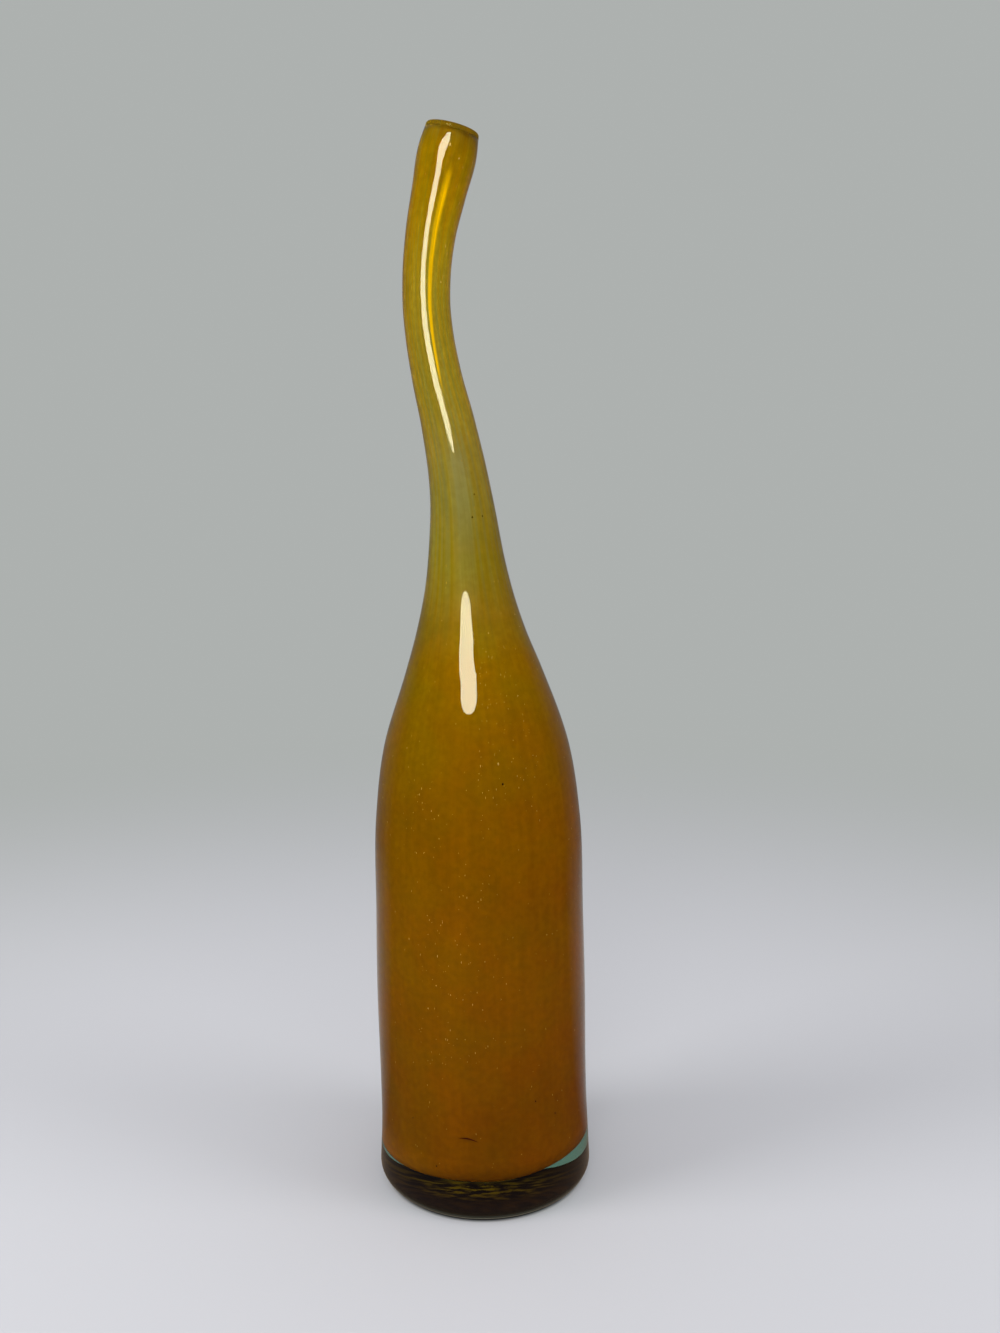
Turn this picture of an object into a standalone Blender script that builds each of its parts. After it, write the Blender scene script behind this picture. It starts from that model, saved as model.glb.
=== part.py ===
"""A swung glass vase: an amber inner bubble cased in clear glass.

The clear casing is thin at the neck and heavy at the base. The long neck was swung while it was
hot, so it leans out to one side and back again. Each layer is a body and a neck, turned profiles
that follow one bent centre line.

Units are metres and +Z is up. The origin is the middle of the base, on the table. Heights are
measured along the centre line, which is upright through the base.
"""
import math

import bpy

# Outside of the vase, from the table up.
BASE_DIAMETER = 0.1170
HEEL_RADIUS = 0.0074
WAIST_HEIGHT = 0.055
WAIST_DIAMETER = 0.1139
BELLY_HEIGHT = 0.110
BELLY_DIAMETER = 0.1140
NECK_HEIGHT = 0.478
NECK_DIAMETER = 0.0242
MOUTH_DIAMETER = 0.0293
MOUTH_BELOW_RIM = 0.0115
RIM_DIAMETER = 0.0264

# Centre line: heights above the table, and how far it lies to the left of the base's middle.
FOOT_STRAIGHT = 0.012
WAIST_LEAN = 0.0006
BELLY_LEAN = 0.0014
SHOULDER_HEIGHT = 0.245
SHOULDER_LEAN = 0.0029
BEND_HEIGHT = 0.475
BEND_LEAN = 0.0258
RIM_HEIGHT = 0.5525
RIM_LEAN = 0.0115

# Glass walls, each measured square to the outside.
CASING_BODY_WALL = 0.0028
CASING_NECK_WALL = 0.0010
CORE_BODY_WALL = 0.0024
CORE_NECK_WALL = 0.0013
LAYER_GAP = 0.0003

# The heavy clear base and the rounded lower end of the amber bubble above it.
CLEAR_BASE_HEIGHT = 0.0175
CORE_HEEL_RADIUS = 0.016
CORE_FLOOR_WALL = 0.0040

# The amber lip that covers the end of the casing.
LIP_HEIGHT = 0.0028

# Where each layer's body ends and its neck begins.
NECK_ROOT_HEIGHT = 0.325

# How finely the solids are divided.
ROW_LENGTH = 0.018
TURN_STEPS = 32
HEEL_STEPS = 5
LIP_STEPS = 6
GUIDE_RESOLUTION = 24
MERGE_DISTANCE = 0.00001

# From the waist down, then from the belly up to the neck, then from the neck up to the mouth:
# the share of the climb, and the share of the change in radius that is left at that height.
SKIRT_SHARES = ((0.26, 0.58), (0.64, 0.12))
SHOULDER_SHARES = (
    (0.114, 0.982),
    (0.256, 0.948),
    (0.362, 0.822),
    (0.468, 0.534),
    (0.522, 0.379),
    (0.575, 0.258),
    (0.690, 0.110),
    (0.823, 0.035),
)
FLARE_SHARES = ((0.35, 0.85), (0.70, 0.42))

# The bend, from the shoulder out to its furthest place and from there back to the rim:
# the share of the climb, and the share of the sideways travel that is done at that height.
BEND_OUT_SHARES = (
    (0.110, 0.030),
    (0.235, 0.095),
    (0.400, 0.180),
    (0.565, 0.300),
    (0.709, 0.545),
    (0.826, 0.810),
    (0.930, 0.970),
)
BEND_BACK_SHARES = ((0.32, 0.15), (0.62, 0.50))

AMBER = (0.66, 0.32, 0.02, 1.0)
CLEAR = (0.86, 0.95, 0.92, 1.0)
GLASS_IOR = 1.5
GLASS_ROUGHNESS = 0.03


def clear_scene():
    """Remove whatever the open file holds."""
    for old in list(bpy.data.objects):
        bpy.data.objects.remove(old, do_unlink=True)


def new_collection(name):
    """A collection in the scene for one group of objects."""
    collection = bpy.data.collections.new(name)
    bpy.context.scene.collection.children.link(collection)
    return collection


def between(low, high, share):
    """The value at a share of the way from low to high."""
    return low + (high - low) * share


def centre_line_points():
    """Places of the centre line as (height, lean), from the table to the rim."""
    points = [(0, 0), (FOOT_STRAIGHT, 0), (2 * FOOT_STRAIGHT, 0)]
    points.append((WAIST_HEIGHT, WAIST_LEAN))
    points.append((BELLY_HEIGHT, BELLY_LEAN))
    points.append((SHOULDER_HEIGHT, SHOULDER_LEAN))
    for climb, travel in BEND_OUT_SHARES:
        height = between(SHOULDER_HEIGHT, BEND_HEIGHT, climb)
        points.append((height, between(SHOULDER_LEAN, BEND_LEAN, travel)))
    points.append((BEND_HEIGHT, BEND_LEAN))
    for climb, travel in BEND_BACK_SHARES:
        height = between(BEND_HEIGHT, RIM_HEIGHT, climb)
        points.append((height, between(BEND_LEAN, RIM_LEAN, travel)))
    points.append((RIM_HEIGHT, RIM_LEAN))
    return points


def centre_line(collection):
    """The guide curve that both layers of glass follow, kept out of the model."""
    curve = bpy.data.curves.new("centre_line", "CURVE")
    curve.dimensions = "3D"
    curve.twist_mode = "MINIMUM"
    curve.resolution_u = GUIDE_RESOLUTION
    points = centre_line_points()
    spline = curve.splines.new("BEZIER")
    spline.bezier_points.add(len(points) - 1)
    for bezier_point, (height, lean) in zip(spline.bezier_points, points):
        bezier_point.co = (-lean, 0, height)
        bezier_point.handle_left_type = "AUTO"
        bezier_point.handle_right_type = "AUTO"
    guide = bpy.data.objects.new("centre_line", curve)
    guide.hide_render = True
    guide.display_type = "WIRE"
    collection.objects.link(guide)
    return guide, spline.calc_length(resolution=GUIDE_RESOLUTION)


def outline_stations(rim_height):
    """The outside of the vase as (height, radius), from the top of the heel to the rim."""
    base, waist = BASE_DIAMETER / 2, WAIST_DIAMETER / 2
    belly, neck = BELLY_DIAMETER / 2, NECK_DIAMETER / 2
    mouth, rim = MOUTH_DIAMETER / 2, RIM_DIAMETER / 2
    mouth_height = rim_height - MOUTH_BELOW_RIM
    stations = [(HEEL_RADIUS, base)]
    for climb, left in SKIRT_SHARES:
        stations.append((between(HEEL_RADIUS, WAIST_HEIGHT, climb), between(waist, base, left)))
    stations.append((WAIST_HEIGHT, waist))
    stations.append((BELLY_HEIGHT, belly))
    for climb, left in SHOULDER_SHARES:
        stations.append((between(BELLY_HEIGHT, NECK_HEIGHT, climb), between(neck, belly, left)))
    stations.append((NECK_HEIGHT, neck))
    for climb, left in FLARE_SHARES:
        stations.append((between(NECK_HEIGHT, mouth_height, climb), between(mouth, neck, left)))
    stations.append((mouth_height, mouth))
    stations.append((rim_height, rim))
    return stations


def station_slopes(stations):
    """The slope of a smooth line through the stations, at each of them."""
    steps = [
        (after[1] - before[1]) / (after[0] - before[0])
        for before, after in zip(stations, stations[1:])
    ]
    slopes = [steps[0]]
    for index in range(1, len(stations) - 1):
        below = stations[index][0] - stations[index - 1][0]
        above = stations[index + 1][0] - stations[index][0]
        slopes.append((steps[index - 1] * above + steps[index] * below) / (below + above))
    slopes.append(steps[-1])
    return slopes


def outside_at(stations, height):
    """Radius of the outside at a height, and its slope, by cubic pieces between stations."""
    slopes = station_slopes(stations)
    index = 0
    while index < len(stations) - 2 and height > stations[index + 1][0]:
        index += 1
    (low, low_radius), (high, high_radius) = stations[index], stations[index + 1]
    span = high - low
    t = (height - low) / span
    low_pull, high_pull = slopes[index] * span, slopes[index + 1] * span
    rise = high_radius - low_radius
    square = 3 * rise - 2 * low_pull - high_pull
    cube = low_pull + high_pull - 2 * rise
    radius = low_radius + low_pull * t + square * t ** 2 + cube * t ** 3
    slope = (low_pull + 2 * square * t + 3 * cube * t ** 2) / span
    return radius, slope


def wall_at(height, body_wall, neck_wall):
    """Wall thickness at a height: even in the body, thinning over the shoulder to the neck."""
    climb = (height - BELLY_HEIGHT) / (NECK_HEIGHT - BELLY_HEIGHT)
    climb = min(max(climb, 0), 1)
    return between(body_wall, neck_wall, climb ** 2 * (3 - 2 * climb))


def casing_wall(height):
    return wall_at(height, CASING_BODY_WALL, CASING_NECK_WALL)


def core_wall(height):
    return wall_at(height, CORE_BODY_WALL, CORE_NECK_WALL)


def inset_point(stations, height, depth):
    """The place a depth inside the outside's surface, square to it, as (radius, height)."""
    radius, slope = outside_at(stations, height)
    length = math.hypot(1, slope)
    return radius - depth / length, height + depth * slope / length


def row_heights(stations, low, high):
    """Heights from low to high: every station between them, and rows no further apart."""
    stops = [low] + [height for height, _ in stations if low < height < high] + [high]
    heights = [low]
    for below, above in zip(stops, stops[1:]):
        rows = math.ceil((above - below) / ROW_LENGTH)
        heights += [between(below, above, (row + 1) / rows) for row in range(rows)]
    return heights


def arc(centre_radius, centre_height, size, start_degrees, end_degrees, steps):
    """Points of an arc in the profile, as (radius, height)."""
    points = []
    for step in range(steps + 1):
        angle = math.radians(between(start_degrees, end_degrees, step / steps))
        points.append((centre_radius + size * math.cos(angle), centre_height + size * math.sin(angle)))
    return points


def wall_line(stations, low, high, depth_at):
    """A line up the wall, at a depth inside the outside's surface."""
    heights = row_heights(stations, low, high)
    return [inset_point(stations, height, depth_at(height)) for height in heights]


def inner_line(stations, floor_height, heel_radius, depth_at, top_height):
    """A line inside the vase: floor from the middle, rounded heel, then up the wall."""
    wall_start = CLEAR_BASE_HEIGHT + CORE_HEEL_RADIUS + LAYER_GAP
    wall = wall_line(stations, wall_start, top_height, depth_at)
    heel_centre = wall[0][0] - heel_radius
    heel = arc(heel_centre, floor_height + heel_radius, heel_radius, -90, 0, HEEL_STEPS)
    return [(0, floor_height)] + heel + wall[1:]


def outside_depth(height):
    return 0


def core_outside_depth(height):
    return casing_wall(height) + LAYER_GAP


def core_inside_depth(height):
    return core_outside_depth(height) + core_wall(height)


def body_top():
    return NECK_ROOT_HEIGHT - LAYER_GAP / 2


def neck_bottom():
    return NECK_ROOT_HEIGHT + LAYER_GAP / 2


def casing_body_profile(stations):
    """The clear layer's body: up its inner side, down its outside and in to the middle."""
    inside = inner_line(
        stations, CLEAR_BASE_HEIGHT, CORE_HEEL_RADIUS + LAYER_GAP, casing_wall, body_top()
    )
    outside = wall_line(stations, HEEL_RADIUS, body_top(), outside_depth)
    heel_centre = BASE_DIAMETER / 2 - HEEL_RADIUS
    heel = arc(heel_centre, HEEL_RADIUS, HEEL_RADIUS, 0, -90, HEEL_STEPS)
    return inside + outside[:0:-1] + heel + [(0, 0)]


def casing_neck_profile(stations, rim_height):
    """The clear layer's neck: up its inner side and down its outside."""
    end_height = rim_height - LIP_HEIGHT - LAYER_GAP
    inside = wall_line(stations, neck_bottom(), end_height, casing_wall)
    outside = wall_line(stations, neck_bottom(), end_height, outside_depth)
    return inside + outside[::-1]


def core_body_profile(stations):
    """The amber layer's body: up its inner side, down its outer side and in to the middle."""
    floor_height = CLEAR_BASE_HEIGHT + LAYER_GAP
    inside = inner_line(
        stations,
        floor_height + CORE_FLOOR_WALL,
        CORE_HEEL_RADIUS - CORE_FLOOR_WALL,
        core_inside_depth,
        body_top(),
    )
    outside = inner_line(stations, floor_height, CORE_HEEL_RADIUS, core_outside_depth, body_top())
    return inside + outside[::-1]


def core_neck_profile(stations, rim_height):
    """The amber layer's neck: up its inner side, over the lip, in under it and down."""
    ledge_height = rim_height - LIP_HEIGHT
    lip_radius = core_inside_depth(rim_height) / 2
    lip_centre_height = rim_height - lip_radius
    lip_centre = outside_at(stations, lip_centre_height)[0] - lip_radius
    inside = wall_line(stations, neck_bottom(), ledge_height, core_inside_depth)
    lip = arc(lip_centre, lip_centre_height, lip_radius, 180, 0, LIP_STEPS)
    ledge = [inset_point(stations, ledge_height, 0)]
    outside = wall_line(stations, neck_bottom(), ledge_height, core_outside_depth)
    return inside + lip + ledge + outside[::-1]


def glass_material(name, color):
    """Smooth glass of one colour."""
    material = bpy.data.materials.new(name)
    material.use_nodes = True
    material.diffuse_color = color
    shader = material.node_tree.nodes["Principled BSDF"]
    shader.inputs["Base Color"].default_value = color
    shader.inputs["Roughness"].default_value = GLASS_ROUGHNESS
    shader.inputs["Metallic"].default_value = 0
    shader.inputs["IOR"].default_value = GLASS_IOR
    shader.inputs["Transmission Weight"].default_value = 1
    return material


def turned_glass(name, profile, material, guide, collection):
    """A stretch of glass: its profile turned about the upright axis, then bent along the guide.

    A body's profile begins and ends on the axis. A neck's goes round to where it began.
    """
    mesh = bpy.data.meshes.new(name)
    vertices = [(radius, 0, height) for radius, height in profile]
    edges = [(index, index + 1) for index in range(len(vertices) - 1)]
    if vertices[0][0] > 0:
        edges.append((len(vertices) - 1, 0))
    mesh.from_pydata(vertices, edges, [])
    mesh.materials.append(material)
    glass = bpy.data.objects.new(name, mesh)
    collection.objects.link(glass)
    turn = glass.modifiers.new("turn", "SCREW")
    turn.axis = "Z"
    turn.steps = TURN_STEPS
    turn.render_steps = TURN_STEPS
    turn.use_merge_vertices = True
    turn.merge_threshold = MERGE_DISTANCE
    turn.use_smooth_shade = True
    bend = glass.modifiers.new("bend", "CURVE")
    bend.object = guide
    bend.deform_axis = "POS_Z"
    return glass


def build_vase():
    clear_scene()
    parts = new_collection("swung_glass_vase")
    guides = new_collection("guides")
    guide, rim_height = centre_line(guides)
    stations = outline_stations(rim_height)
    clear = glass_material("clear_glass", CLEAR)
    amber = glass_material("amber_glass", AMBER)
    turned_glass("clear_body", casing_body_profile(stations), clear, guide, parts)
    turned_glass("clear_neck", casing_neck_profile(stations, rim_height), clear, guide, parts)
    turned_glass("amber_body", core_body_profile(stations), amber, guide, parts)
    turned_glass("amber_neck", core_neck_profile(stations, rim_height), amber, guide, parts)


build_vase()
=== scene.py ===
"""The looks of the swung glass vase: amber glass cased in clear glass, on a pale floor.

Units are metres and +Z is up. The origin is the middle of the base. Both layers of glass are
made fine here, from the same outline and centre line as the solid model.
"""

import math
import random

import bpy
from mathutils import Matrix, Vector

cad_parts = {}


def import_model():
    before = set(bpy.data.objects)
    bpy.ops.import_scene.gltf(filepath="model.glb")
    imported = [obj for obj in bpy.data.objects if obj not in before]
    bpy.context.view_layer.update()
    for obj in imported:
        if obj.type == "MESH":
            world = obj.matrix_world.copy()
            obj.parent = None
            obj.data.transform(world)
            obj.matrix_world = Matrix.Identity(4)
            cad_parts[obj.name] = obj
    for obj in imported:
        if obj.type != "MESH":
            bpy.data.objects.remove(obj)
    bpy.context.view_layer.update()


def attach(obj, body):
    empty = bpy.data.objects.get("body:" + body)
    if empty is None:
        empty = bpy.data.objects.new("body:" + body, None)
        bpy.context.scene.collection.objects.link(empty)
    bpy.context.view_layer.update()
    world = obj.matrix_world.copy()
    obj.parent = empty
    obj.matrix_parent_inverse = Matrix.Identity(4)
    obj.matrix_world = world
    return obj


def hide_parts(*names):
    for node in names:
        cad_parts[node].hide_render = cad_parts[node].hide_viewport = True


# Outside of the vase, from the table up.
BASE_DIAMETER = 0.1170
HEEL_RADIUS = 0.0074
WAIST_HEIGHT = 0.055
WAIST_DIAMETER = 0.1139
BELLY_HEIGHT = 0.110
BELLY_DIAMETER = 0.1140
NECK_HEIGHT = 0.478
NECK_DIAMETER = 0.0242
MOUTH_DIAMETER = 0.0293
MOUTH_BELOW_RIM = 0.0115
RIM_DIAMETER = 0.0264

# Centre line: heights above the table, and how far it lies to the left of the base's middle.
FOOT_STRAIGHT = 0.012
WAIST_LEAN = 0.0006
BELLY_LEAN = 0.0014
SHOULDER_HEIGHT = 0.245
SHOULDER_LEAN = 0.0029
BEND_HEIGHT = 0.475
BEND_LEAN = 0.0258
RIM_HEIGHT = 0.5525
RIM_LEAN = 0.0115

# Glass walls, each measured square to the outside. The layers are fused: the seam keeps the
# two surfaces there just clear of each other.
CASING_BODY_WALL = 0.0028
CASING_NECK_WALL = 0.0010
CORE_BODY_WALL = 0.0024
CORE_NECK_WALL = 0.0013
SEAM_GAP = 0.00006

# The fine surface lies this much inside the outline, so that it stays in the solids' box.
SKIN_INSET = 0.00008

# The clear base under the middle of the amber, the amber's rounded bottom, and its lip.
CLEAR_BASE_HEIGHT = 0.0175
CORE_HEEL_RADIUS = 0.016
CORE_FLOOR_WALL = 0.0040
LIP_HEIGHT = 0.0028

# The bottom of the amber isn't even: it is low on the left and high on the right, and at the back
# it is lower and less rounded.
SIDE_RISE = 0.0032
BACK_LOWER = 0.0046
BACK_TIGHTER = 0.0080
RIGHT_TIGHTER = 0.0050
LEFT_TIGHTER = 0.0036

# How finely the glass is divided, and how many steps of the amber's heel count as its bottom.
WALL_ROWS = 216
FLOOR_ROWS = 18
TURN_STEPS = 192
HEEL_STEPS = 16
LIP_STEPS = 16
GUIDE_RESOLUTION = 24
BOTTOM_STEPS = 3

# From the waist down, then from the belly up to the neck, then from the neck up to the mouth:
# the share of the climb, and the share of the change in radius that is left at that height.
SKIRT_SHARES = ((0.26, 0.58), (0.64, 0.12))
SHOULDER_SHARES = (
    (0.114, 0.982),
    (0.256, 0.948),
    (0.362, 0.822),
    (0.468, 0.534),
    (0.522, 0.379),
    (0.575, 0.258),
    (0.690, 0.110),
    (0.823, 0.035),
)
FLARE_SHARES = ((0.35, 0.85), (0.70, 0.42))

# The bend, from the shoulder out to its furthest place and from there back to the rim:
# the share of the climb, and the share of the sideways travel that is done at that height.
BEND_OUT_SHARES = (
    (0.110, 0.030),
    (0.235, 0.095),
    (0.400, 0.180),
    (0.565, 0.300),
    (0.709, 0.545),
    (0.826, 0.810),
    (0.930, 0.970),
)
BEND_BACK_SHARES = ((0.32, 0.15), (0.62, 0.50))

# The camera, found from the photograph, with its sensor and lens in millimetres, and how far
# light is followed through the glass.
CAMERA_PLACE = (0.0100, -0.6578, 0.3965)
CAMERA_DOWN_DEGREES = 9.70
CAMERA_ROLL_DEGREES = -0.356
CAMERA_SENSOR = 36.0
CAMERA_LENS = 34.217
TRANSMISSION_BOUNCES = 24
MAX_BOUNCES = 32
TRANSPARENT_BOUNCES = 16

# Light bends at the glass's surfaces but not at the seam between the layers.
GLASS_IOR = 1.5
SEAM_IOR = 1.0

# What each layer of glass takes out of the light: the colour that is left, and how strongly.
AMBER_LEFT = (0.965, 0.80, 0.20, 1)
AMBER_DENSITY = 1000.0
AQUA_LEFT = (0.0, 0.40, 0.24, 1)
AQUA_DENSITY = 15.0

# The amber layer by height: the colour of its cloudiness, what one crossing of it lets through,
# and how much of it is clear.
CLOUD_STOPS = (
    # The lowest stops are painted light, where the amber's heel turns under into shade.
    (0.012, (0.55, 0.150, 0.0, 1)),
    (0.018, (0.42, 0.115, 0.0, 1)),
    (0.026, (0.25, 0.073, 0.0, 1)),
    (0.036, (0.195, 0.061, 0.0, 1)),
    (0.058, (0.20, 0.064, 0.0, 1)),
    (0.123, (0.23, 0.083, 0.0, 1)),
    (0.175, (0.22, 0.082, 0.0, 1)),
    (0.215, (0.21, 0.083, 0.0, 1)),
    (0.290, (0.215, 0.110, 0.0, 1)),
    (0.345, (0.215, 0.165, 0.013, 1)),
    (0.400, (0.245, 0.20, 0.045, 1)),
    (0.470, (0.305, 0.225, 0.02, 1)),
    (0.520, (0.29, 0.17, 0.0, 1)),
    (0.545, (0.24, 0.14, 0.0, 1)),
    (0.551, (0.19, 0.115, 0.004, 1)),
    (0.560, (0.15, 0.09, 0.004, 1)),
)
TINT_STOPS = (
    (0.010, (0.75, 0.65, 0.1, 1)),
    (0.200, (0.85, 0.75, 0.1, 1)),
    (0.325, (0.92, 0.98, 0.6, 1)),
    (0.370, (0.88, 0.97, 0.75, 1)),
    (0.430, (0.90, 0.97, 0.6, 1)),
    (0.480, (0.91, 0.95, 0.42, 1)),
    (0.510, (0.95, 0.93, 0.2, 1)),
    (0.560, (0.95, 0.80, 0.1, 1)),
)
CLARITY_STOPS = (
    (0.0, 0.0),
    (0.310, 0.0),
    (0.365, 0.50),
    (0.420, 0.88),
    (0.500, 0.88),
    (0.530, 0.70),
    (0.548, 0.40),
    (0.560, 0.40),
)

# The cloudiness is dull. The clear part spreads light a little, as fine bubbles would.
HAZE_ROUGHNESS = 0.5
THROUGH_ROUGHNESS = 0.35

# The inner surface and the lip by height: what they let through, and how cloudy they are.
LIP_STOPS = (
    (0.0, 1.0),
    (0.545, 1.0),
    (0.555, (0.86, 0.84, 0.40, 1)),
    (0.560, (0.86, 0.84, 0.40, 1)),
)
LIP_CLOUD_STOPS = (
    (0.0, 0.0),
    (0.544, 0.0),
    (0.551, 0.7),
    (0.560, 0.7),
)

# How much of the lamps' light the clear layer lets through by height. The base keeps some of it.
SHADE_STOPS = (
    (0.0, 0.85),
    (0.016, 0.85),
    (0.030, 1.0),
    (0.560, 1.0),
)

# What the outer surface lets through by height: painted shade on the heel, all but a thin bright line.
HEEL_SHADE_STOPS = (
    (0.0, (0.02, 0.016, 0.014, 1)),
    (0.0010, (0.02, 0.016, 0.014, 1)),
    (0.0013, (1.0, 0.90, 0.90, 1)),
    (0.0022, (1.0, 0.90, 0.90, 1)),
    (0.0026, (0.02, 0.016, 0.014, 1)),
    (0.0060, (0.02, 0.016, 0.014, 1)),
    (0.0090, 1.0),
    (0.0200, 1.0),
)

# Streaks in the glass. Each has how often it changes round the vase and along it, and where in
# the noise it starts. Its range is the stretch of noise that counts and what the ends give.
STREAK_DETAIL = 3
FINE_STREAKS = (18.0, 16.0, 0.0)
FINE_RANGE = (0.3, 0.7, 0.95, 1.05)
BROAD_STREAKS = (2.2, 22.0, 7.0)
BROAD_RANGE = (0.3, 0.7, 0.93, 1.07)
VEIN_STREAKS = (9.0, 7.0, 11.0)
VEIN_RANGE = (0.35, 0.65, 0.88, 1.08)
# The breaks in the painted gold reflection of the neck.
GOLD_REFLECTION_STREAKS = (22.0, 9.0, 5.0)
GOLD_REFLECTION_RANGE = (0.35, 0.55, 0.5, 1)
FIBRE_STREAKS = (9.0, 5.0, 3.0)
FIBRE_RANGE = (0.40, 0.60, 0, 1)

# The slight waviness of the outer surface.
WAVE_STREAKS = (2.0, 14.0, 0.0)
WAVE_DEPTH = 0.0002
WAVE_STRENGTH = 0.25

# Spots in the amber: small ones are lighter and darker, and larger ones redder and greener.
BLOTCH_DETAIL = 4
GRAIN_SCALE = 300.0
GRAIN_RANGE = (0.35, 0.65, 0.935, 1.065)
HUE_SCALE = 42.0
HUE_RANGE = (0.35, 0.65, 0, 1)
HUE_COLORS = ((1.03, 0.95, 1.0, 1), (0.98, 1.05, 1.0, 1))

# Painted light and shade: the amber is lighter and more olive on the left, darker and redder on the
# right, as the light comes from the left.
SIDE_LIGHT_COLORS = ((1.10, 1.20, 1.2, 1), (0.93, 0.80, 0.8, 1))

# The fibres of the neck: gold ones and grey ones, and where they begin.
FIBRE_COLORS = ((1.06, 0.98, 0.65, 1), (0.95, 1.02, 1.40, 1))
FIBRE_HEIGHTS = (0.270, 0.345)
NO_TINT = (1, 1, 1, 1)

# The painted reflections of the neck: the bright gold streak, the window mirrored in the inner
# wall, which glows to the right of the highlight, and the pale band of its root. For each: the
# angle round the vase, the heights of the ends, how far each reaches to either side and how far
# its middle is off its angle at those two heights, and the colours. A band is at full strength
# for a share of its reach, and fades at its ends.
GOLD_REFLECTION_BAND = (-80.0, (0.425, 0.537), (0.06, 0.16), (-0.03, 0.11))
GOLD_REFLECTION_COLOR = (1.0, 0.56, 0.0, 1)
PALE_REFLECTION_BAND = (-88.0, (0.305, 0.405), (0.30, 0.45), (-0.10, 0.08))
PALE_REFLECTION_COLOR = (1.03, 1.10, 1.9, 1)
BAND_FULL_SHARE = 0.35
BAND_FADE = 0.014

# The bottom of the amber glows with painted light, for the dim light and the reflections seen in
# it through the base: ripples between two colours, their change from left to right, and painted
# glints near one place.
RIPPLE_STRETCH = (190.0, 340.0, 0.0)
RIPPLE_RANGE = (0.40, 0.65, 0, 1)
RIPPLE_GLOW_COLORS = ((0.007, 0.0020, 0.0005, 1), (0.026, 0.0075, 0.0006, 1))
RIPPLE_SIDE_GLOW_COLORS = ((1.5, 1.9, 16.0, 1), (1.7, 1.1, 0.6, 1))
GLINT_PLACE = (-0.002, 0.030, 0.0)
GLINT_REACH = (0.022, 0.018)
GLINT_FULL_SHARE = 0.2
GLINT_RANGE = (0.48, 0.60, 0, 1)
GLINT_COLOR = (0.28, 0.10, 0.001, 1)

# The floor: a shadow is painted on it where it meets the base, and it fades into the background
# further out. Edges are distances from the middle of the base, where a change begins and where it
# ends.
FLOOR_RADIUS = 3.0
FLOOR_SIDES = 128
FLOOR_GAP = 0.0003
FLOOR_COLOR = (0.55, 0.55, 0.575, 1)
FLOOR_ROUGHNESS = 0.6
FLOOR_SHINE = 0.2
CONTACT_SHADOW_COLOR = (0.02, 0.02, 0.02, 1)
CONTACT_SHADOW_EDGES = (0.0535, 0.0560)
FLOOR_FADE_EDGES = (0.25, 1.1)
BACK_COLOR = (0.42, 0.44, 0.43, 1)
ROOM_LIGHT = (0.55, 0.56, 0.58, 1)

# The room as the glass mirrors it: dark for ways on the viewer's side, brighter for those that
# point to the back, and dim far away. Close to the vase the mirrored floor is painted warm, as the
# amber is.
MIRRORED_FROM = 0.25
MIRRORED_FRONT = 0.03
MIRRORED_BACK = 0.47
MIRRORED_FAR = 0.36
MIRRORED_FALL_EDGES = (0.30, 0.72)
WARM_COLOR = (0.22, 0.17, 0.13, 1)
WARM_EDGES = (0.062, 0.110)

# The lamps: name, place, width and power. All of them look at the target.
LAMPS = (
    ("front", (-0.25, -1.9, 1.1), 1.0, 12),
    ("top", (0.2, -0.3, 1.9), 1.2, 4),
    ("left", (-1.5, -0.5, 0.7), 0.9, 22),
    ("right", (1.5, -0.5, 0.7), 0.9, 14),
)
LAMP_TARGET = (0, 0, 0.3)

# The window that the glass mirrors: how far it stands before the vase, the height of its lower
# and upper ends, its middle, half its width, and its rows from below, each as shares: of its
# height, and of half its width for its left and right edges.
WINDOW_FRONT = -0.35
WINDOW_ENDS = (0.430, 0.745)
WINDOW_MIDDLE = -0.075
WINDOW_HALF_WIDTH = 0.12
WINDOW_SHARES = (
    (0.00, 0.00, 0.32),
    (0.015, -0.25, 0.58),
    (0.05, -0.50, 0.80),
    (0.11, -0.70, 0.84),
    (0.19, -0.82, 0.56),
    (0.30, -0.86, 0.25),
    (0.42, -0.82, 0.22),
    (0.57, -0.95, 0.45),
    (0.75, -1.08, 0.95),
    (0.90, -1.00, 1.00),
    (1.00, -0.60, 0.60),
)
WINDOW_STRENGTH = 15.0
WINDOW_COLOR = (1.0, 0.95, 0.66, 1)

# Bubbles in the clear layer, drawn out as the glass was swung: where they crowd, as angles
# round the vase (the viewer's side is -90) and heights, and how many there are.
BODY_SEEDS = (
    ((-180, 180), (0.030, 0.300), 420),
    ((-90, -50), (0.215, 0.300), 100),
    ((-124, -78), (0.085, 0.190), 90),
    ((-136, -106), (0.195, 0.250), 30),
)
NECK_SEEDS = (
    ((-180, 180), (0.300, 0.545), 220),
    ((145, 215), (0.430, 0.545), 170),
    ((-50, 10), (0.470, 0.545), 60),
    ((-105, -75), (0.538, 0.546), 8),
)
SEED_START = 7
SEED_WIDTHS = (0.00006, 0.00015)
SEED_STRETCHES = (1.5, 5.0)
SEED_DEPTH_SHARES = (0.35, 0.65)

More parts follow.
